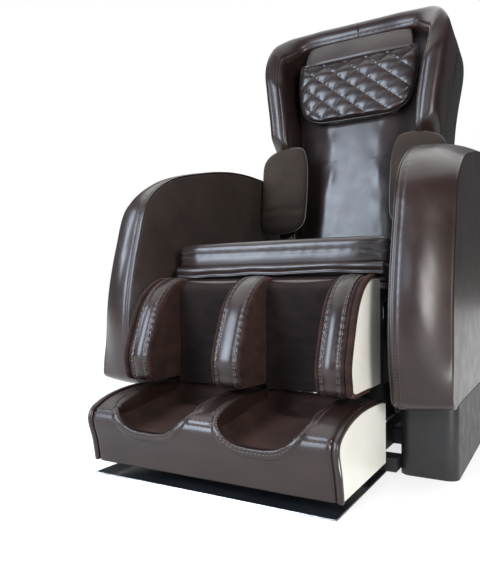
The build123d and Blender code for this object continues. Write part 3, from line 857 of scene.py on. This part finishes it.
def side_pad(side, name):
    """A hanging fabric pad with piping round its edge and folds near its foot."""
    low, high, mid_x, half = 174.0, 438.0, 198.0, 74.0
    outline = [(-0.62, 0.02), (-0.92, 0.10), (-1.0, 0.30), (-1.0, 0.55), (-0.94, 0.80), (-0.72, 0.97),
               (-0.30, 1.0), (0.25, 0.985), (0.72, 0.93), (0.96, 0.84), (0.98, 0.55), (0.94, 0.28),
               (0.86, 0.08), (0.55, 0.0), (0.0, -0.01)]
    line = smooth_line([(mid_x + half * a, low + (high - low) * b) for a, b in outline], 150, closed=True)
    spine = np.array([(mid_x, low + 74.0), (mid_x, high - 74.0)])
    core = to_spine(line, spine)
    rows = []
    for f, t in ((1.0, -84.0), (0.6, -84.0), (0.2, -85.0), (0.05, -88.0), (0.0, -95.0), (0.0, -100.0),
                 (0.04, -107.0), (0.1, -112.0), (0.2, -117.0), (0.32, -120.5), (0.45, -122.5), (0.6, -124.0),
                 (0.75, -124.6), (0.88, -125.0), (1.0, -125.0)):
        p = line + (core - line) * f
        level = (p[:, 1] - low) / (high - low)
        folds = 4.2 * bell(level - 0.24, 0.035) + 3.2 * bell(level - 0.13, 0.03)
        folds = folds - 2.2 * bell(level - 0.18, 0.02)
        uneven = folds + 0.9 * wobble(71, p[:, 0] * 1.5, p[:, 1])
        depth = t + uneven * smoothstep(0.0, 0.2, f) * (t < -100)
        rows.append(np.column_stack([side * p[:, 0], depth, p[:, 1]]))
    cover = skin(f"side_pad_cover_{name}", back(rows), [WOVEN], loop_v=True)
    dress(cover, "backrest", f"side_pad_{name}", slot="fabric_brown", fill=0.5)
    ring = np.vstack([line, line[:1]])
    edge = back(np.column_stack([side * ring[:, 0], np.full(len(ring), PAD_EDGE), ring[:, 1]]))
    bead(f"side_pad_piping_{name}", edge[:-1], 0.0026, PIPING, "backrest", closed=True)
    loop = [(mid_x - 4, PAD_EDGE + 1, high - 3), (mid_x - 6, PAD_EDGE, high + 6),
            (mid_x, PAD_EDGE, high + 11), (mid_x + 6, PAD_EDGE, high + 6),
            (mid_x + 4, PAD_EDGE + 1, high - 3)]
    path = smooth_line([(side * a, b, c) for a, b, c in loop], 24)
    bead(f"side_pad_loop_{name}", back(path), 0.0014, BLACK, "backrest", "plastic_black")


# -------- calf rest

CALF_HALF, COVER, FIN_MID, FIN_IN, CALF_BOARD = 238.0, 9.0, 33.0, 172.0, 214.0
CALF_CURVE = [(94, 190), (90, 217), (106, 268), (130, 320), (164, 355), (206, 374), (228, 376)]


def calf_line(count):
    under = [(210, 167), (150, 167), (112, 168), (98, 175)]
    return smooth_line(under + CALF_CURVE, count)


def calf_fin(name, x0, x1):
    """A padded fin: a leather front band between two puckered seams, with fabric sides."""
    line = calf_line(260)
    normal = outward(line)
    anchor = np.column_stack([np.full(len(line), CALF_BOARD - 0.5), np.clip(line[:, 1], 172, 352)])
    travel = travelled(line)
    wide = x1 - x0
    seam = (9.0, 0, -3.3)
    section = [(0, 1.0, 0), (0, 0.75, 0), (0, 0.5, 0), (0, 0.3, 0), (0.2, 0.16, 0), (0.4, 0.06, -4),
               (0.9, 0, -8), (2.0, 0, -4.6), (3.6, 0, -2.6), (5.6, 0, -1.6), (7.4, 0, -1.8), (8.4, 0, -2.9),
               seam, (9.8, 0, -2.4), (11.0, 0, -0.4), (13.0, 0, 0.3), (15.2, 0, 0.0), (16.4, 0, -0.5),
               (18.0, 0, 0.4), (22, 0, 1.2)]
    far_half = [(wide - a, f, n) for a, f, n in reversed(section)]
    middle = [(wide / 2 - 4, 0, 1.9), (wide / 2 + 4, 0, 1.9)] if wide / 2 > 26 else []
    full = section + middle + far_half
    rows = []
    for k in range(len(line)):
        pucker = 0.5 * math.sin(travel[k] / 2.05 + 0.8 * float(wobble(81, travel[k] * 2)))
        row = []
        for a, f, n in full:
            edge = min(a, wide - a)
            raise_by = n + pucker * float(bell(edge - 12.5, 3.6)) * (f == 0)
            raise_by += 0.5 * float(wobble(83, travel[k] * 1.4, a * 3.0)) * (edge > 14)
            p = line[k] + (anchor[k] - line[k]) * f + normal[k] * raise_by
            row.append((x0 + a, p[0], p[1]))
        rows.append(row)
    leather_from = section.index(seam)
    leather_to = len(full) - leather_from - 1

    def band(j):
        return 0 if leather_from <= j < leather_to else 1

    obj = pad(f"calf_fin_cover_{name}", chair(rows), [LEATHER, VELOUR], band_of=band)
    dress(obj, "calf_rest", f"calf_fin_{name}", fill=0.85)
    runs = []
    p = line[34:-6]
    for a in (11.2, 15.6, wide - 15.6, wide - 11.2):
        runs.append(chair(at_x(x0 + a, p + normal[34:-6] * 0.6)))
    stitches(f"calf_stitching_{name}", obj, runs, THREAD_PAINTED_HIGHLIGHT, "calf_rest", pitch=6.6, long=4.4, thick=0.72)
    return obj


ROLL_REACH = 10.4
ROLL_SECTION = [(0, 1.0), (0.3, -0.8), (0.65, -1.0), (0.9, 0.0), (1.0, 2.8), (1.0, 7.0), (0.7, 10.0),
                (0, 10.5)]                # share of the reach, inset from the outline


def edge_roll(name, line, normal, start, material, body, slot):
    """A padded roll along an outline that hides the front edge of a white side cover."""
    sign = 1 if start > 0 else -1
    rows = []
    for a, inset in ROLL_SECTION:
        p = line - normal * inset
        rows.append(at_x(start + sign * ROLL_REACH * a, p))
    rows = np.array(rows).transpose(1, 0, 2)
    roll = pad(name, chair(rows), [material])
    return dress(roll, body, slot=slot, fill=0.8)


LINING_LOW, LINING_BEND, LINING_TOP, LINING_DEPTH = 157.0, 352.0, 372.0, 193.0


def calf_lining(side, name, *nodes):
    """The padded back wall of a well, hollowed for the calf and rounded over at its top."""
    x0, x1 = FIN_MID + 0.8, FIN_IN - 0.8
    rows = []
    rising = np.linspace(LINING_LOW, LINING_BEND, 54)
    rounding = LINING_BEND + 20 * np.sin(np.linspace(0.05, math.pi / 2, 12))
    for z in np.concatenate([rising, rounding]):
        row = []
        over = smoothstep(LINING_BEND - 8, LINING_TOP, z)
        for a in np.linspace(0, 1, 40):
            x = x0 + (x1 - x0) * a
            hollow = 7 * math.sin(math.pi * a) ** 0.7
            y = LINING_DEPTH + hollow + 22 * over ** 1.5 + 1.4 * float(wobble(91, x, z))
            row.append((side * x, min(y, 226), min(z, LINING_TOP)))
        row += [(side * x, 229, min(z, LINING_TOP - 2)) for x in (x1, x0)]
        rows.append(row)
    # The back wall takes the darker velour, which is painted shade.
    obj = pad(f"calf_lining_{name}", chair(rows), [VELOUR_PAINTED_SHADE])
    dress(obj, "calf_rest", *nodes, slot="fabric_brown", fill=0.5)


def make_calf():
    """Three fins with two lined wells between them, and the rolls beside the white covers."""
    outer = CALF_HALF - COVER
    calf_fin("middle", -FIN_MID, FIN_MID)
    calf_fin("right", FIN_IN, outer)
    calf_fin("left", -outer, -FIN_IN)
    line = calf_line(200)[8:]
    for side, name in SIDES:
        start = side * (outer - 1)
        edge_roll(f"calf_edge_{name}", line, outward(line), start, VELOUR, "calf_rest", "fabric_brown")
    calf_lining(1, "right", "calf_lining")
    calf_lining(-1, "left")


# -------- foot unit

FOOT_HALF, WELL_IN, WELL_OUT, BED = 240.0, 26.0, 190.0, 88.0
FOOT_CURVE = [(22, 24), (14, 62), (1, 106), (7, 122), (27, 134), (60, 144), (110, 151), (170, 152),
              (240, 148), (258, 144)]
WELL_MID, WELL_HALF = (WELL_IN + WELL_OUT) / 2, (WELL_OUT - WELL_IN) / 2
CROSS_SEAM, CROSS_STITCHES = 121.0, (117.5, 125.0)      # heights of the front's seam and its stitch lines


def rim(x):
    """Height of the front wall's upper edge across a well: a flat-bottomed U."""
    reach = np.clip(np.abs(np.abs(x) - WELL_MID) / WELL_HALF, 0, 1.3)
    return 94 + 44 * reach ** 3.2


def bed(x, y):
    """Height of a well's floor, rising to the back and up the walls."""
    reach = np.clip(np.abs(np.abs(x) - WELL_MID) / WELL_HALF, 0, 1)
    floor = BED + 20 * smoothstep(20, 200, y) + 44 * reach ** 7
    return floor + 44 * smoothstep(196, 224, y) * (1 - reach ** 7)


def foot_cap(x, y):
    """The height that the leather may not pass at a place: low inside the wells."""
    reach = np.abs(np.abs(x) - WELL_MID)
    wall = smoothstep(WELL_HALF - 7, WELL_HALF + 3, reach) * 90
    front = rim(x) + 60 * smoothstep(WELL_HALF, WELL_HALF + 12, reach)
    floor = np.minimum(bed(x, y) - 9, 128) + wall + 80 * smoothstep(219, 229, y)
    k = smoothstep(13, 23, y)
    return front * (1 - k) + floor * k


def soft_min(a, b, k):
    """The smaller of two heights, blended over k where they meet."""
    h = np.clip(0.5 + 0.5 * (b - a) / k, 0, 1)
    return b * (1 - h) + a * h - k * h * (1 - h)


def binding(x, line):
    """Relief of the sewn binding round a well: a raised strip with two sunk stitch lines."""
    beside = np.abs(abs(x) - WELL_MID) - WELL_HALF
    away = np.where(line[:, 0] < 30, np.maximum((rim(x) - line[:, 1]) * 0.9, beside), beside)
    away = np.where((line[:, 0] < 30) & (beside < 0), (rim(x) - line[:, 1]) * 0.9, away)
    strip = smoothstep(-2, 2, away) * smoothstep(16, 13, away)
    return 2.3 * strip - 1.1 * (bell(away - 4, 1.3) + bell(away - 10.5, 1.3))


def make_foot():
    """The foot unit's leather body with two bound wells, their beds and the rolls beside the covers."""
    line = smooth_line(FOOT_CURVE, 190)
    normal = outward(line)
    xs = np.linspace(-FOOT_HALF + 0.4, FOOT_HALF - 0.4, 221)
    rows = []
    for x in xs:
        edge = smoothstep(FOOT_HALF - 12, FOOT_HALF, abs(x))
        drop = 5.5 * edge ** 2
        solid = smoothstep(WELL_HALF - 2, WELL_HALF + 8, abs(abs(x) - WELL_MID))
        seam = 2.2 * bell(line[:, 1] - CROSS_SEAM, 2.0) * solid * (line[:, 0] < 40)
        soft = 0.8 * wobble(101, np.full(len(line), x) * 0.8, line[:, 0] + line[:, 1])
        soft = soft + binding(x, line)
        p = line + normal * (soft - seam - drop)[:, None]
        y, z = p.T
        z = soft_min(z, foot_cap(x, y), 5.0)
        row = [(x, a, b) for a, b in zip(y, z)] + [(x, 258, 60), (x, 250, 26)]
        rows.append(row)
    body = pad("foot_cover", chair(rows), [LEATHER])
    dress(body, "foot_unit", "foot_body", fill=0.8)

    def depth_at(z, upto):
        return float(np.interp(z, line[:upto, 1], line[:upto, 0]))

    runs = []
    for side in (1, -1):
        for step in (3.5, 10.5):
            xs_in = WELL_MID + (WELL_HALF + step) * np.cos(np.linspace(math.pi, 0, 90))
            path = []
            for y in np.linspace(212, 44, 40):
                path.append((WELL_IN - step, y, 150))
            for x in xs_in:
                z = min(rim(x) - step * 0.75, 136 - step * 0.2)
                path.append((x, depth_at(z, 70) - 1, z))
            for y in np.linspace(44, 212, 40):
                path.append((WELL_OUT + step, y, 150))
            path = smooth_line(np.array(path)[::3], 300)
            runs.append(chair(path * np.array([side, 1, 1])))
        for z in CROSS_STITCHES:
            depth = depth_at(z, 110)
            runs.append(chair([(side * (WELL_OUT + 12), depth, z), (side * (FOOT_HALF - 4), depth, z)]))
    for z in CROSS_STITCHES:
        depth = depth_at(z, 110)
        runs.append(chair([(-WELL_IN + 9, depth, z), (WELL_IN - 9, depth, z)]))
    stitches("foot_stitching", body, runs, THREAD_PAINTED_HIGHLIGHT, "foot_unit", pitch=7.4, long=4.8, thick=0.8)

    for side, name in SIDES:
        start = side * (FOOT_HALF - 1.5)
        edge_roll(f"foot_edge_{name}", line, normal, start, LEATHER, "foot_unit", "leather_brown")
        rows = []
        for a in np.linspace(-1, 1, 81):
            x = WELL_MID + (WELL_HALF - 1.5) * math.copysign(abs(a) ** 0.8, a)
            row = []
            for y in np.linspace(16, 226, 80):
                z = float(bed(x, y)) + 1.2 * float(wobble(111, x, y)) * (1 - abs(a) ** 6)
                z = min(z, float(rim(x)) - 3 + 60 * float(smoothstep(18, 40, y)))
                row.append((side * x, y, z))
            row += [(side * x, 226, 80), (side * x, 16, 80)]
            rows.append(row)
        lining = pad(f"foot_bed_{name}", chair(rows), [VELOUR])
        nodes = ["foot_lining"] if side == 1 else []
        dress(lining, "foot_unit", *nodes, slot="fabric_brown", fill=0.5)


# -------- under the seat

CURTAIN_DEPTH, CURTAIN_HALF, CURTAIN_LOW, CURTAIN_TOP = 1030.0, 262.0, 66.0, 262.0


def make_shade_curtain():
    """A black cloth that closes the rear of the base: a dark sheet put there as painted shade, so the space
    under the seat reads black; it also blocks light from behind.
    """
    rows = []
    for z in np.linspace(CURTAIN_LOW, CURTAIN_TOP, 40):
        free = (CURTAIN_TOP - z) / (CURTAIN_TOP - CURTAIN_LOW)
        xs = np.linspace(-CURTAIN_HALF, CURTAIN_HALF, 160)
        ripple = (2 + 4 * free) * np.sin(xs / 19 + 1.5 * wobble(121, xs))
        ripple = ripple + 1.5 * wobble(122, xs, np.full_like(xs, z))
        rows.append([(x, CURTAIN_DEPTH + r, z) for x, r in zip(xs, ripple)])
    cloth = skin("shade_curtain", chair(rows), [PAINTED_SHADE_CLOTH])
    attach(cloth, "base")


def make_plate_rim_highlight():
    """The pale bead along the front and sides of the floor plate: a painted highlight for the light caught
    on the rim of the painted shadow.
    """
    low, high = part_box("floor_plate")
    z = (low.z + high.z) / 2
    line = rounded([(low.x, high.y, z), (low.x, low.y, z), (high.x, low.y, z), (high.x, high.y, z)], 0.006)
    bead("floor_plate_rim_highlight", line, 0.0014, FINISHES["steel_bright"], "base", "steel_bright")


# -------- stage, light, camera

def softbox(name, place, target, width, height, watts, colour):
    """A rectangular area light turned to its target."""
    data = bpy.data.lights.new(name, "AREA")
    data.shape = "RECTANGLE"
    data.size, data.size_y, data.energy, data.color = width, height, watts, colour
    obj = bpy.data.objects.new(name, data)
    obj.location = place
    obj.rotation_euler = (Vector(target) - Vector(place)).to_track_quat("-Z", "Y").to_euler()
    bpy.context.scene.collection.objects.link(obj)


def make_stage():
    """A white floor under a white backdrop, lit by softboxes and a wide light from above."""
    reach = 14.0
    corners = [(-reach, -reach, 0), (reach, -reach, 0), (reach, reach, 0), (-reach, reach, 0)]
    white = moulded("studio_floor", (0.34, 0.34, 0.34), (0.38, 0.38, 0.38), 0.8, 0.9, 40)
    glow = white.node_tree.nodes["Principled BSDF"]
    glow.inputs["Emission Color"].default_value = (1, 1, 1, 1)
    glow.inputs["Emission Strength"].default_value = 0.72
    floor = add_object("floor", corners, [(0, 1, 2, 3)], [white])
    world = bpy.data.worlds.new("studio")
    bpy.context.scene.world = world
    world.use_nodes = True
    nodes, links = world.node_tree.nodes, world.node_tree.links
    ambient = nodes["Background"]
    ambient.inputs["Color"].default_value = (0.90, 0.94, 1.0, 1)
    ambient.inputs["Strength"].default_value = 0.10
    backdrop, seen = nodes.new("ShaderNodeBackground"), nodes.new("ShaderNodeLightPath")
    backdrop.inputs["Color"].default_value = (1, 1, 1, 1)
    mix = nodes.new("ShaderNodeMixShader")
    links.new(seen.outputs["Is Camera Ray"], mix.inputs[0])
    links.new(ambient.outputs[0], mix.inputs[1])
    links.new(backdrop.outputs[0], mix.inputs[2])
    links.new(mix.outputs[0], nodes["World Output"].inputs["Surface"])
    cool = (0.74, 0.85, 1.0)
    softbox("key", (-1.60, -3.1, 1.70), (0, 0, 0.70), 1.5, 2.5, 195, cool)
    softbox("left_strip", (-2.9, -1.0, 1.65), (-0.3, -0.1, 1.0), 0.45, 1.0, 24, cool)
    softbox("front", (0.55, -3.3, 1.7), (0.1, 0, 0.5), 1.0, 0.9, 14, cool)
    softbox("right_fill", (2.35, -2.2, 0.95), (0.25, -0.2, 0.30), 0.9, 1.2, 66, (1.0, 0.985, 0.95))
    sky = bpy.data.objects.new("sky", bpy.data.lights.new("sky", "SUN"))
    sky.data.energy, sky.data.angle, sky.data.color = 2.4, math.radians(80), (1.0, 1.0, 1.0)
    sky.rotation_euler = (math.radians(-14), math.radians(-8), 0)
    bpy.context.scene.collection.objects.link(sky)


EYE = (0.5375, -1.3502, 0.3387)
EYE_TURN, EYE_PITCH, LENS = 29.5, 1.01, 36.06


def make_camera():
    """A low viewpoint in front and to the right, turned to the left."""
    data = bpy.data.cameras.new("camera")
    data.lens, data.sensor_width = LENS, 36.0
    camera = bpy.data.objects.new("camera", data)
    camera.location = EYE
    turn, pitch = math.radians(EYE_TURN), math.radians(EYE_PITCH)
    ahead = Vector((-math.sin(turn) * math.cos(pitch), math.cos(turn) * math.cos(pitch), math.sin(pitch)))
    camera.rotation_euler = ahead.to_track_quat("-Z", "Y").to_euler()
    bpy.context.scene.collection.objects.link(camera)
    bpy.context.scene.camera = camera
    bpy.context.scene.view_settings.view_transform = "Standard"


make_camera()
make_stage()
finish_nodes()
for side, name in SIDES:
    arm_pod(side, name)
    wing(side, name)
    side_pad(side, name)
make_seat()
make_back_panel()
make_pillow()
make_calf()
make_foot()
make_shade_curtain()
make_plate_rim_highlight()
